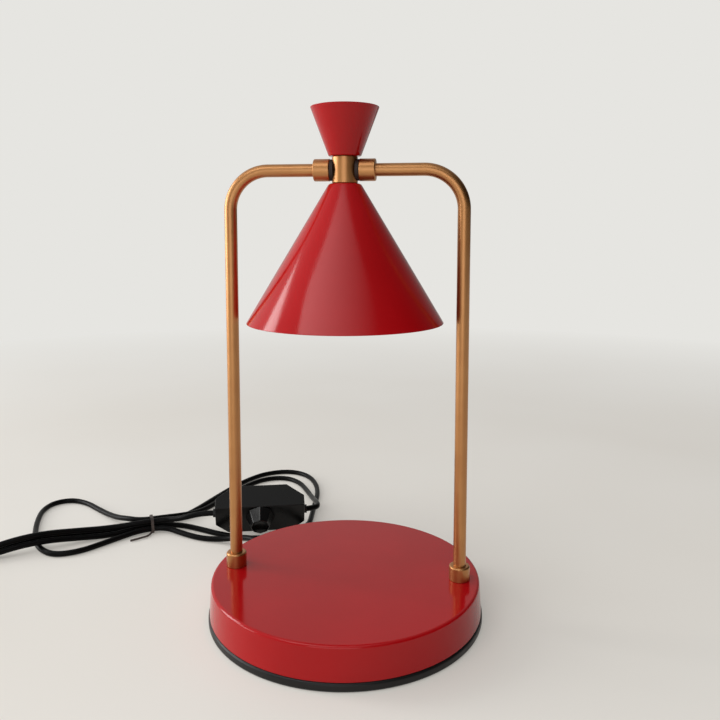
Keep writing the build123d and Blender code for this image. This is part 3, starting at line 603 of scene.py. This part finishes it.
def make_cords():
    """Both cords and the plug's ribbed relief: the lamp's cord runs to the dimmer, the other, with the tie,
    to the plug.
    """
    nodes = frame["nodes"]
    lamp_cord = lay_cord("lamp_lead", LAMP_CORD, "lamp_cord")
    plug_cord = lay_cord("plug_lead", PLUG_CORD, "plug_cord")
    plug = [nodes[name] for name in ("plug_body", "plug_pins", "wire_tie")] + [make_plug_relief()]


CAD_FINISHES = {
    "copper_satin": ["hub"],
    "black_rubber": ["cord_grommet", "dimmer_left_relief", "dimmer_right_relief"],
    "zinc_steel": [
        "bottom_plate", "bottom_screws", "clamp_screws", "left_post_nut", "right_post_nut",
        "left_post_washer", "right_post_washer", "lampholder_bracket", "lampholder_screws", "nipple_nuts",
        "nipple_spacer", "cup_nipple", "shade_nipple", "left_pivot_nipple", "right_pivot_nipple",
        "pivot_stop_pin", "dimmer_screws", "dimmer_shaft"],
    "cast_iron": ["base_weight"],
    "black_plastic": ["dimmer_front_case", "dimmer_back_case", "plug_body", "cord_clamp"],
    "brown_fibre": ["left_pivot_washer", "right_pivot_washer"],
    "pale_plastic": ["terminal_block"],
    "tie_wire": ["wire_tie"],
    "lead_sleeve": ["frame_lead", "head_lead"],
    "white_ceramic": ["lampholder", "bulb_base"],
    "bulb_mirror": ["bulb_reflector"],
    "bulb_glass": ["bulb_lens"],
    "plain_brass": ["bulb_pins", "plug_pins"],
    "board_green": ["dimmer_pot", "dimmer_board"],
}


def dress_cad_nodes():
    """Gives the nodes that keep their CAD meshes their finishes."""
    for finish, names in CAD_FINISHES.items():
        for name in names:
            dress(frame["nodes"][name], finish)


WALL_COLOUR = linear(230, 229, 225)
DAYLIGHT_COLOUR = (0.96, 0.97, 1.0, 1)


def make_floor():
    """A pale table: the camera, gloss and glass see it paler than the light it throws back."""
    wide, fade_start, fade_end = 12, 0.5, 1.4
    glow_share, glow_strength = 0.3, 0.95
    bpy.ops.object.select_all(action="DESELECT")
    bpy.ops.mesh.primitive_plane_add(size=wide, location=(0, 0, 0))
    floor = bpy.context.object
    floor.name = "floor"
    material = bpy.data.materials.new("pale_floor")
    material.use_nodes = True
    look = Nodes(material.node_tree)
    pale = look.tones(look.noise(3, detail=2), (232, 227, 218), (236, 232, 224))
    thrown = look.node("ShaderNodeBsdfDiffuse", {}, {"Color": linear(214, 190, 156)})
    lit = look.node("ShaderNodeBsdfDiffuse", {}, {"Color": pale})
    glow = look.node("ShaderNodeEmission", {}, {"Color": pale, "Strength": glow_strength})
    wall = look.node("ShaderNodeEmission", {}, {"Color": WALL_COLOUR})
    reach = look.node("ShaderNodeVectorMath", {"operation": "LENGTH"}, {0: look.coordinates()}, "Value")
    fade = look.span(reach, fade_start, fade_end, 0.0, 1.0)
    seen = look.mix(fade, look.mix(glow_share, lit, glow), wall)
    direct = look.ray("Is Camera Ray") + look.ray("Is Glossy Ray") + look.ray("Is Transmission Ray")
    look.node("ShaderNodeOutputMaterial", {}, {"Surface": look.mix(direct, thrown, seen)})
    floor.data.materials.append(material)


def make_world():
    """A soft room, lighter on the window's side. The camera, gloss and glass see it as a pale wall,
    which for gloss fades to the room's dark side."""
    world = bpy.data.worlds.new("studio")
    bpy.context.scene.world = world
    world.use_nodes = True
    room = Nodes(world.node_tree)
    where = room.node("ShaderNodeTexCoord", {}, {}, "Generated")

    def backdrop(colour, lightest, start, low, high):
        """A colour at its high strength in the lightest direction, and low from where its cosine is start."""
        facing = room.node("ShaderNodeVectorMath", {"operation": "DOT_PRODUCT"},
                           {0: where, 1: lightest}, "Value")
        strength = room.span(facing, start, 1, low, high)
        return room.node("ShaderNodeBackground", {}, {"Color": colour, "Strength": strength})

    seen = backdrop(DAYLIGHT_COLOUR, (-0.84, 0.0, 0.54), start=-0.4, low=0.03, high=0.92)
    shaded_wall = backdrop(WALL_COLOUR, (-0.8, 0.33, 0.5), start=-0.3, low=0.0, high=0.95)
    wall = room.node("ShaderNodeBackground", {}, {"Color": WALL_COLOUR})
    seen = room.mix(room.ray("Is Glossy Ray"), seen, shaded_wall)
    for ray in ("Is Transmission Ray", "Is Camera Ray"):
        seen = room.mix(room.ray(ray), seen, wall)
    room.node("ShaderNodeOutputWorld", {}, {"Surface": seen})


def fade_across(lamp):
    """Lets a lamp's glow fall from its left edge, at twice its mean, to nothing at its right edge."""
    lamp.use_nodes = True
    glow = Nodes(lamp.node_tree)
    spot = glow.node("ShaderNodeNewGeometry", {}, {}, "Parametric")
    across = glow.node("ShaderNodeSeparateXYZ", {}, {0: spot}, "X")
    shown = glow.node("ShaderNodeEmission", {}, {"Strength": glow.span(across, 0, 1, 2, 0)})
    glow.node("ShaderNodeOutputLight", {}, {"Surface": shown})


def make_lamp(name, place, aim, width, height, power):
    """A soft rectangular lamp that the camera doesn't see."""
    lamp = bpy.data.lights.new(name, "AREA")
    lamp.energy = power
    lamp.shape = "RECTANGLE"
    lamp.size = width
    lamp.size_y = height
    holder = bpy.data.objects.new(name, lamp)
    holder.location = place
    holder.rotation_mode = "QUATERNION"
    holder.rotation_quaternion = (Vector(aim) - Vector(place)).to_track_quat("-Z", "Y")
    holder.visible_camera = False
    bpy.context.scene.collection.objects.link(holder)
    return lamp


def make_light():
    """A window at the left with a lower one beside it, a ceiling that darkens to the right, a weak front."""
    make_world()
    middle = (0, 0, 0.15)
    make_lamp("window", (-1.92, 0.22, 0.68), middle, width=0.5, height=1.34, power=16.5)
    make_lamp("low_window", (-1.91, -0.47, 0.4), middle, width=0.85, height=0.7, power=7.5)
    make_lamp("front", (0.0, -1.7, 0.45), middle, width=1.2, height=0.9, power=5.6)
    ceiling = make_lamp("ceiling", (-0.06, -0.68, 1.15), (-0.06, -0.68, 0), width=1.6, height=0.54, power=4.6)
    fade_across(ceiling)


def make_camera():
    """The photograph's camera: fitted place, direction, lens and off-centre framing."""
    yaw, pitch = math.radians(7.74), math.radians(-5.59)
    frame_pixels, drop_pixels = 720, 60
    data = bpy.data.cameras.new("camera")
    data.sensor_width = 36
    data.lens = 36.575
    data.shift_y = -drop_pixels / frame_pixels
    data.clip_start = 0.01
    camera = bpy.data.objects.new("camera", data)
    camera.location = (0.07097, -0.45286, 0.24856)
    forward = Vector((-math.sin(yaw) * math.cos(pitch), math.cos(yaw) * math.cos(pitch), math.sin(pitch)))
    camera.rotation_mode = "QUATERNION"
    camera.rotation_quaternion = forward.to_track_quat("-Z", "Y")
    bpy.context.scene.collection.objects.link(camera)
    bpy.context.scene.camera = camera


make_base()
make_posts()
make_collars()
make_head()
make_knob()
make_cords()
dress_cad_nodes()
make_floor()
make_light()
make_camera()
bpy.context.scene.view_settings.view_transform = "Standard"
